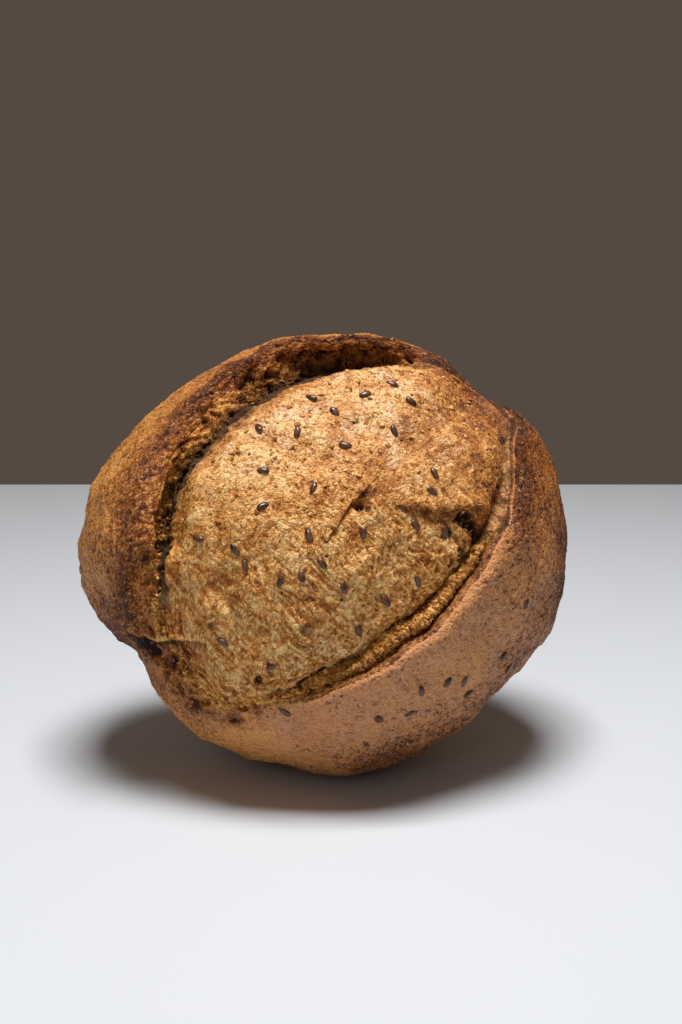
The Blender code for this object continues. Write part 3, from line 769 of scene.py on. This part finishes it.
def spindle(rings, sides, taper):
    """A small closed body along x from -1 to 1: rings of sides points, and a point at each end.

    The radius at x is (1 - |x|^taper)^(1/2), so a high taper gives a blunt body.
    """
    at = np.cos(np.linspace(np.pi, 0, rings + 2))[1:-1]
    turn = np.linspace(0, 2 * np.pi, sides, endpoint=False)
    radius = np.sqrt(1 - np.abs(at) ** taper)
    ring = np.stack((np.broadcast_to(at[:, None], (rings, sides)), radius[:, None] * np.cos(turn),
                     radius[:, None] * np.sin(turn)), axis=-1).reshape(-1, 3)
    points = np.concatenate((ring, [(-1, 0, 0), (1, 0, 0)]))
    place = np.arange(rings * sides).reshape(rings, sides)
    quads = strips(place[:-1], place[1:])[:, ::-1]
    ends = np.concatenate((fan(rings * sides, place[0])[:, ::-1], fan(rings * sides + 1, place[-1])))
    return points, quads, ends


def strew(name, shape, centres, ways, sizes, material, bend=None, lumpy=None, bake=None):
    """Many copies of one small shape, each with its own place, ways, size and bend, as one piece.

    ways is along, across and up at each place, and sizes is the half size in each of these ways.
    A bend of b moves a copy's points across by b times x squared.
    """
    points, quads, ends = shape
    count = len(centres)
    local = points[None] * sizes[:, None, :]
    if bend is not None:
        local[..., 1] += bend[:, None, 0] * (points[:, 0] ** 2)
        local[..., 2] += bend[:, None, 1] * (points[:, 0] ** 2 - 0.4)
    if lumpy is not None:
        local = local * (1 + lumpy)
    place = centres[:, None] + np.einsum("nvk,nkx->nvx", local, ways)
    offset = (np.arange(count) * len(points))[:, None, None]
    faces = [(quads[None] + offset).reshape(-1, 4), (ends[None] + offset).reshape(-1, 3)]
    item = make_object(name, placed(place.reshape(-1, 3)), faces, [True, True], material)
    if bake is not None:
        paint(item, np.repeat(bake, len(points), axis=0))
    return item


def ways_at(normal, turn):
    """Along, across and up at each place: along is turned in the surface, in degrees from the right."""
    side = np.cross(np.broadcast_to((0.0, 1.0, 0.0), normal.shape), normal)
    side = side / np.linalg.norm(side, axis=-1, keepdims=True)
    ahead = np.cross(normal, side)
    angle = np.radians(turn)[:, None]
    along = np.cos(angle) * side + np.sin(angle) * ahead
    return np.stack((along, np.cross(normal, along), normal), axis=1)


def plain_seed_places():
    """Where the seeds lie on the plain grid: the number of its point, and a turn in degrees.

    A named seed takes the point nearest to its place. Strewn seeds are seeded random points on
    the back, kept apart from the others and clear of what the loaf rests on.
    """
    flat = PLAIN.reshape(-1, 3)
    front = flat[:, 2] > RIM_HEIGHT + 2
    chosen = []
    named = list(CRUMB_SEEDS)
    named += [(radius * math.cos(math.radians(angle)), radius * math.sin(math.radians(angle)), turn)
              for angle, radius, turn in CRUST_SEEDS]
    for p, q, turn in named:
        away = np.hypot(flat[:, 0] - p, flat[:, 1] - q) + np.where(front, 0, 1e6)
        chosen.append((int(away.argmin()), turn))
    draw = np.random.default_rng(21)
    crust = np.arange(len(flat))[CRUST_ROW * PLAIN_COLUMNS:-PLAIN_COLUMNS]
    low_edge = (stand(flat) + SHIFT)[crust, 2]
    crust = crust[(low_edge > SEED_CLEARANCE) & (flat[crust, 2] < STREWN_BELOW)]
    radius = np.hypot(flat[crust, 0], flat[crust, 1])
    for place in draw.choice(crust, SEED_TRIES, p=radius / radius.sum()):
        if len(chosen) == len(named) + STREWN_SEEDS:
            break
        gaps = np.linalg.norm(flat[[c for c, _ in chosen]] - flat[place], axis=1)
        if gaps.min() > SEED_SPACING:
            chosen.append((int(place), float(draw.uniform(0, 180))))
    return chosen


# Colours and materials.

def linear(code):
    """A linear colour from an sRGB hex code, each channel by the standard's curve."""
    channels = [int(code[i:i + 2], 16) / 255 for i in (1, 3, 5)]
    return (*[c / 12.92 if c <= 0.04045 else ((c + 0.055) / 1.055) ** 2.4 for c in channels], 1.0)


def put(tree, kind, sockets=None, **settings):
    """Adds a shader node: settings are its attributes, and sockets its inputs, linked or set."""
    made = tree.nodes.new("ShaderNode" + kind)
    for name, value in settings.items():
        setattr(made, name, value)
    for key, value in (sockets or {}).items():
        if isinstance(value, bpy.types.NodeSocket):
            tree.links.new(value, made.inputs[key])
        else:
            made.inputs[key].default_value = value
    return made


def mapped(tree, value, *ends):
    """A value brought from one range to another and kept within it: the old ends, then the new."""
    return put(tree, "MapRange", {0: value, **dict(enumerate(ends, 1))}).outputs[0]


def worked(tree, operation, first, second, **settings):
    """Two values added, multiplied or compared, as the operation says."""
    return put(tree, "Math", {0: first, 1: second}, operation=operation, **settings).outputs[0]


def blended(tree, share, first, second):
    """A share of the second colour over the first, each a hex code or the output of a node."""
    pair = [linear(colour) if isinstance(colour, str) else colour for colour in (first, second)]
    return put(tree, "Mix", {0: share, 6: pair[0], 7: pair[1]}, data_type="RGBA").outputs[2]


def new_material(name):
    """A new material with its node tree and its main shader."""
    material = bpy.data.materials.new(name)
    material.use_nodes = True
    return material, material.node_tree, material.node_tree.nodes["Principled BSDF"]


def baked_finish(name, tones, veil_and_sheen, hollow, grain_mm, bump_mm, matt, shine, gloss, flour_and_glint_specks=0.0):
    """A browned bread surface whose colour follows its piece's bake.

    tones run from pale to burnt. The tone at a point is its toast less what its grain stands out,
    unsettled by a fine grain of grain_mm, so tips are paler, partly as painted light. The veil colour
    lies over it in patches, a bloom of flour and also painted sheen, and the hollow colour is painted
    shade in cracks and pores. A share of the grains, as the last argument says, is pale: flour specks
    and also painted glints. matt and shine are the roughness of recesses and of tips.
    """
    material, tree, shader = new_material(name)
    place = put(tree, "TexCoord").outputs["Object"]
    bake = put(tree, "Attribute", attribute_name="bake").outputs
    toast, sunk, veil_and_sheen_share = put(tree, "SeparateColor", {0: bake["Color"]}).outputs
    fine = put(tree, "TexNoise", {"Vector": place, "Scale": 1000 / grain_mm, "Detail": 5.0,
                                  "Roughness": 0.7}).outputs["Fac"]
    patch = put(tree, "TexNoise", {"Vector": place, "Scale": 1000 / (4 * grain_mm), "Detail": 3.0,
                                   "Roughness": 0.6}).outputs["Fac"]
    grain = put(tree, "TexVoronoi", {"Vector": place, "Scale": 1000 / (1.3 * grain_mm)}).outputs
    number = put(tree, "SeparateColor", {0: grain["Color"]}).outputs[0]
    # tips paler and the ground between them darker: partly painted light and shade on the grain
    by_tip = mapped(tree, bake["Alpha"], 0.0, 1.0, 0.42, -0.42)
    by_fine = mapped(tree, fine, 0.36, 0.64, 0.18, -0.18)
    by_grain = mapped(tree, number, 0.0, 1.0, 0.13, -0.13)
    tone = worked(tree, "ADD", toast, by_tip)
    tone = worked(tree, "ADD", tone, by_fine)
    tone = worked(tree, "ADD", tone, by_grain, use_clamp=True)
    colour = tones[0]
    steps = len(tones) - 1
    for k in range(steps):
        colour = blended(tree, mapped(tree, tone, k / steps, (k + 1) / steps), colour, tones[k + 1])
    # the veil colour in patches: a bloom of flour and starch, and also painted sheen
    spread = worked(tree, "MULTIPLY", mapped(tree, patch, 0.35, 0.65, 0.45, 1.0), veil_and_sheen_share)
    veil_and_sheen_colour = blended(tree, mapped(tree, tone, 0.35, 0.72), veil_and_sheen[0], veil_and_sheen[1])
    colour = blended(tree, spread, colour, veil_and_sheen_colour)
    # pale specks on a share of grains: flour specks, and also painted glints
    pale = worked(tree, "MULTIPLY", worked(tree, "GREATER_THAN", number, 1 - flour_and_glint_specks), 0.6)
    colour = blended(tree, pale, colour, veil_and_sheen[0])
    # painted shade: the hollow colour laid over cracks, pores and pits
    colour = blended(tree, sunk, colour, hollow)
    tree.links.new(colour, shader.inputs["Base Color"])
    dull = mapped(tree, worked(tree, "ADD", patch, tone), 0.55, 1.25, shine, matt)
    tree.links.new(worked(tree, "MAXIMUM", dull, sunk), shader.inputs["Roughness"])
    raised = worked(tree, "SUBTRACT", fine, grain["Distance"])
    bump = put(tree, "Bump", {"Height": raised, "Strength": 1.0, "Distance": bump_mm * MM})
    tree.links.new(bump.outputs[0], shader.inputs["Normal"])
    shader.inputs["Specular IOR Level"].default_value = gloss
    return material


def toasted_crumb():
    """Crumb that burst open and browned in the oven: a matted skin of scales and fibres, straw on
    its tips and orange-brown between them, partly as painted light and shade, with a starchy shine on the
    tips."""
    return baked_finish("toasted rye crumb", ("#edc381", "#d4903f", "#a05818", "#562808"),
                        ("#efd0ae", "#b07a42"), "#2a1306",
                        grain_mm=0.55, bump_mm=0.26, matt=0.72, shine=0.30, gloss=0.38)


def torn_crumb():
    """Crumb torn open behind the lips: dry open cells, golden on their edges and with painted near black
    shade in their depths, with no shine."""
    return baked_finish("torn rye crumb", ("#ebb560", "#c07c30", "#78441a", "#321608"),
                        ("#e6c092", "#a2703c"), "#1c0c04",
                        grain_mm=0.6, bump_mm=0.35, matt=0.9, shine=0.6, gloss=0.3)


def baked_crust():
    """The thin hard skin: amber to dark brown where it glazed, and dull and rosy with fine pale
    specks, partly flour and starch dried on it and partly painted glints."""
    return baked_finish("baked rye crust", ("#dd9a50", "#9f5a1a", "#602e06", "#281002"),
                        ("#cf936a", "#54301e"), "#1c0c05",
                        grain_mm=0.62, bump_mm=0.45, matt=0.70, shine=0.26, gloss=0.30, flour_and_glint_specks=0.04)


def base_crust():
    """The underside, dried flat on the baking stone: dull, darker and finely pitted."""
    return baked_finish("baked base crust", ("#b97e44", "#82501f", "#532d0e", "#2a1406"),
                        ("#b08a6c", "#644530"), "#1c0c05",
                        grain_mm=0.9, bump_mm=0.25, matt=0.85, shine=0.55, gloss=0.3)


def seed_hull(name, dark, light, roughness):
    """Flax seed hull: smooth and glossy, dark chestnut with a faint grain along it. Seeds baked into
    the crust are covered by its skin, which makes them browner and duller."""
    material, tree, shader = new_material(name)
    place = put(tree, "TexCoord").outputs["Object"]
    shade = put(tree, "TexNoise", {"Vector": place, "Scale": 1000 / 3.0, "Detail": 4.0}).outputs["Fac"]
    colour = blended(tree, mapped(tree, shade, 0.35, 0.7), dark, light)
    tree.links.new(colour, shader.inputs["Base Color"])
    shader.inputs["Roughness"].default_value = roughness
    return material


SURFACE = fine_surface()
CRUMB, TORN, CRUST, UNDER = toasted_crumb(), torn_crumb(), baked_crust(), base_crust()
HULL = seed_hull("flax seed hull", "#2e1810", "#70462f", 0.28)
BAKED_HULL = seed_hull("flax seed under a skin of crust", "#35190c", "#6e4528", 0.45)
surface_piece("crumb_top", SURFACE, 0, SHOULDER, CRUMB_WALL, CRUMB)
surface_piece("crumb_shoulder", SURFACE, SHOULDER, FOOT, CRUMB_WALL, CRUMB)
surface_piece("torn_face", SURFACE, FOOT, INNER_LIP, TORN_WALL, TORN)
surface_piece("front_crust", SURFACE, INNER_LIP, SIDE, CRUST_WALL, CRUST)
surface_piece("side_crust", SURFACE, SIDE, BASE, CRUST_WALL, CRUST)
surface_piece("base_crust", SURFACE, BASE, POLE, CRUST_WALL, UNDER)


def build_seeds():
    """The flax seeds: flattened drops half sunk in the surface, those in the crust a little deeper.

    Each seed tips its own way a little, and the half sizes differ by a tenth from seed to seed.
    """
    chosen = plain_seed_places()
    numbers = np.array([place for place, turn in chosen])
    turns = np.array([turn for place, turn in chosen], float)
    draw = np.random.default_rng(41)
    up = outward(PLAIN).reshape(-1, 3)[numbers] + draw.normal(0, 0.14, (len(chosen), 3))
    up = up / np.linalg.norm(up, axis=-1, keepdims=True)
    spots = PLAIN.reshape(-1, 3)[numbers]
    sizes = np.array(SEED_SIZE) / 2 * draw.uniform(0.9, 1.08, (len(chosen), 3))
    on_crumb = np.arange(len(chosen)) < len(CRUMB_SEEDS)
    for name, some, lift, hull in (("flax_seeds", on_crumb, SEED_LIFT - 0.05, HULL),
                                   ("flax_seeds_in_crust", ~on_crumb, SEED_LIFT - 0.25, BAKED_HULL)):
        strew(name, spindle(6, 9, 2.4), spots[some] + lift * up[some], ways_at(up[some], turns[some]),
              sizes[some], hull)


def scattered(count, seed, low, high, keep=None):
    """Seeded random points of the fine surface between two guides, as many to each square mm.

    keep tells of each point, from its place and guide, how likely it is to be taken.
    """
    plain, normal, grained, bake = SURFACE
    rows = slice(row_at(low), row_at(high))
    down = np.linalg.norm(np.gradient(plain[rows], axis=0), axis=-1)
    around = np.linalg.norm(np.roll(plain[rows], -1, axis=1) - plain[rows], axis=-1)
    share = (down * around).ravel()
    flat = plain[rows].reshape(-1, 3)
    if keep is not None:
        share = share * keep(flat)
    draw = np.random.default_rng(seed)
    taken = draw.choice(len(flat), count, replace=False, p=share / share.sum())
    return draw, grained[rows].reshape(-1, 3)[taken], normal[rows].reshape(-1, 3)[taken], flat[taken]


def section_value(flat, column):
    """A value of the sections at each point's own angle round the loaf."""
    return smooth_closed(np.arctan2(flat[:, 1], flat[:, 0]), column)


def bends(draw, count, across, up):
    """Seeded bends of a number of copies, across and up, each drawn by its mean and spread."""
    return np.stack((draw.normal(*across, count), draw.normal(*up, count)), axis=-1)


def tip_bake(draw, count, toast, more=0.0, veil_and_sheen=0.0):
    """The bake of copies that stand out: toast drawn round a mean, no hollow shade, and a veil on pale ones
    that also stands as their painted sheen.
    """
    tone = np.clip(draw.normal(toast, 0.2, count) + more, 0, 1)
    return np.stack((tone, 0 * tone, veil_and_sheen * (tone < 0.35), 0 * tone + 0.6), axis=-1)


def build_fibres():
    """Bran fibres and torn strands matted on the crumb: thin bent spindles that hug the surface."""
    count = 7000
    draw, spots, up, flat = scattered(count, 31, 0.2, 5.3)
    fibrous = fibrous_at(flat[:, 0], flat[:, 1])
    turn = draw.normal(0, 1, count) * (70 - 48 * fibrous) - FIBRE_TURN + 180
    length = draw.uniform(0.5, 1.6, count) * (0.6 + 1.1 * fibrous)
    thick = draw.uniform(0.05, 0.11, count)
    bend = bends(draw, count, (0, 0.35), (0.12, 0.15))
    bake = tip_bake(draw, count, 0.40, more=0.14 * fibrous, veil_and_sheen=0.2)
    strew("crumb_fibres", spindle(3, 3, 2.5), spots + 0.12 * up, ways_at(up, turn),
          np.stack((length, thick, thick), axis=-1), CRUMB, bend, bake=bake)


def build_scales():
    """Scales of skin lifted from the crumb: thin bent leaves, each tilted its own way."""
    count = 900
    draw, spots, up, flat = scattered(count, 33, 0.2, 5.0)
    leaning = up + draw.normal(0, 0.22, (count, 3))
    leaning = leaning / np.linalg.norm(leaning, axis=-1, keepdims=True)
    ways = ways_at(leaning, draw.uniform(0, 360, count))
    long = draw.uniform(0.4, 1.2, count)
    sizes = np.stack((long, long * draw.uniform(0.5, 1.0, count), 0 * long + 0.06), axis=-1)
    bend = bends(draw, count, (0, 0.3), (-0.25, 0.2))
    bake = tip_bake(draw, count, 0.48)
    strew("crumb_scales", spindle(3, 5, 3.0), spots + 0.05 * up, ways, sizes, CRUMB, bend,
          bake=bake)


def build_crumbs():
    """Loose fluffy crumbs on the torn faces, thickest on the shelf beside the thin lip.

    They lie in clumps, and none lie high on the face or beside the lip's closed end at the right.
    """
    def in_clumps(flat):
        shelf = section_value(flat, SHELF)
        at_right = flat[:, 0] > 1.6 * np.abs(flat[:, 1] - 20)
        low_enough = flat[:, 1] < 30 - 60 * at_right
        return (0.12 + shelf**2) * ramp(noise(flat, 3.6, 36), -0.35, 0.4) * low_enough

    count = 3600
    draw, spots, up, flat = scattered(count, 35, 7.3, 9.7, in_clumps)
    ways = ways_at(up, draw.uniform(0, 360, count))
    sizes = 0.2 + 0.7 * draw.uniform(0, 1, (count, 1)) ** 2.2
    sizes = sizes * draw.uniform(0.6, 1.4, (count, 3))
    shape = spindle(2, 4, 3.0)
    lumpy = draw.normal(0, 0.2, (count, len(shape[0]), 3))
    bake = tip_bake(draw, count, 0.36)
    strew("torn_crumbs", shape, spots + 0.2 * up, ways, sizes, TORN, lumpy=lumpy, bake=bake)


def build_strands():
    """Strands of crumb pulled out in tufts, behind the ear and on the shelf beside the thin lip.

    On the shelf they stand in its lower part only, and they are paler there.
    """
    def shelf_at(flat):
        return np.clip(section_value(flat, SHELF), 0, 1)

    def in_tufts(flat):
        behind_ear = (1 - shelf_at(flat)) * ramp(section_value(flat, DEPTH), 8, 14)
        on_shelf = shelf_at(flat) ** 2 * (flat[:, 1] < -4)
        return (behind_ear + on_shelf) * ramp(noise(flat, 7, 38), -0.2, 0.5)

    count = 2600
    draw, spots, up, flat = scattered(count, 37, 7.1, 10.0, in_tufts)
    ways = ways_at(up, draw.uniform(0, 360, count))
    length = 0.6 + 1.8 * draw.uniform(0, 1, count) ** 1.6
    thick = draw.uniform(0.07, 0.2, count)
    bend = bends(draw, count, (0, 0.5), (0.2, 0.3))
    bake = tip_bake(draw, count, 0.52, more=-0.25 * shelf_at(flat))
    strew("torn_strands", spindle(3, 4, 2.5), spots + 0.15 * up, ways,
          np.stack((length, thick, thick), axis=-1), TORN, bend, bake=bake)


build_seeds()
build_fibres()
build_scales()
build_crumbs()
build_strands()

# The plain pale floor, the soft studio light and the camera at the photo's viewing angle.
FLOOR_HALF_WIDTH = 3.0
FLOOR_FRONT, FLOOR_BACK = -3.0, 0.60


def build_stage():
    """A wide plain floor at the height that the loaf stands on."""
    mesh = bpy.data.meshes.new("floor")
    corners = [(-FLOOR_HALF_WIDTH, FLOOR_FRONT, 0), (FLOOR_HALF_WIDTH, FLOOR_FRONT, 0),
               (FLOOR_HALF_WIDTH, FLOOR_BACK, 0), (-FLOOR_HALF_WIDTH, FLOOR_BACK, 0)]
    mesh.from_pydata(corners, [], [(0, 1, 2, 3)])
    material, tree, shader = new_material("pale matt board")
    shader.inputs["Base Color"].default_value = linear("#d3d7dc")
    shader.inputs["Roughness"].default_value = 0.6
    mesh.materials.append(material)
    floor = bpy.data.objects.new("floor", mesh)
    bpy.context.collection.objects.link(floor)


def area_light(name, place, target, size, energy):
    """A soft square light at a place, in metres, turned to a target."""
    data = bpy.data.lights.new(name, "AREA")
    data.size = size
    data.energy = energy
    light = bpy.data.objects.new(name, data)
    light.location = place
    light.rotation_euler = (Vector(place) - Vector(target)).to_track_quat("Z", "Y").to_euler()
    bpy.context.collection.objects.link(light)


def build_light():
    """One soft light overhead, a weak one in front, and a dim warm grey surround."""
    scene = bpy.context.scene
    area_light("overhead softbox", (0.03, -0.16, 1.0), (0.01, 0, 0.06), 0.36, 12.6)
    area_light("front fill", (-0.35, -1.1, 0.55), (0, 0, 0.08), 0.6, 0.95)
    world = bpy.data.worlds.new("dim grey surround")
    world.use_nodes = True
    world.node_tree.nodes["Background"].inputs[0].default_value = linear("#544a42")
    world.node_tree.nodes["Background"].inputs[1].default_value = 1.0
    scene.world = world
    scene.view_settings.view_transform = "Standard"
    scene.view_settings.look = "None"


CAMERA_PLACE = (0.0055, -0.5182, 0.1951)
CAMERA_PITCH = 11.0


def build_camera():
    """The camera: 50 mm lens, a little above the loaf and looking slightly down."""
    data = bpy.data.cameras.new("camera")
    data.lens = 50
    data.sensor_width = 36
    data.clip_start = 0.01
    camera = bpy.data.objects.new("camera", data)
    camera.location = CAMERA_PLACE
    camera.rotation_euler = (math.radians(90 - CAMERA_PITCH), 0, 0)
    bpy.context.collection.objects.link(camera)
    bpy.context.scene.camera = camera


build_stage()
build_light()
build_camera()
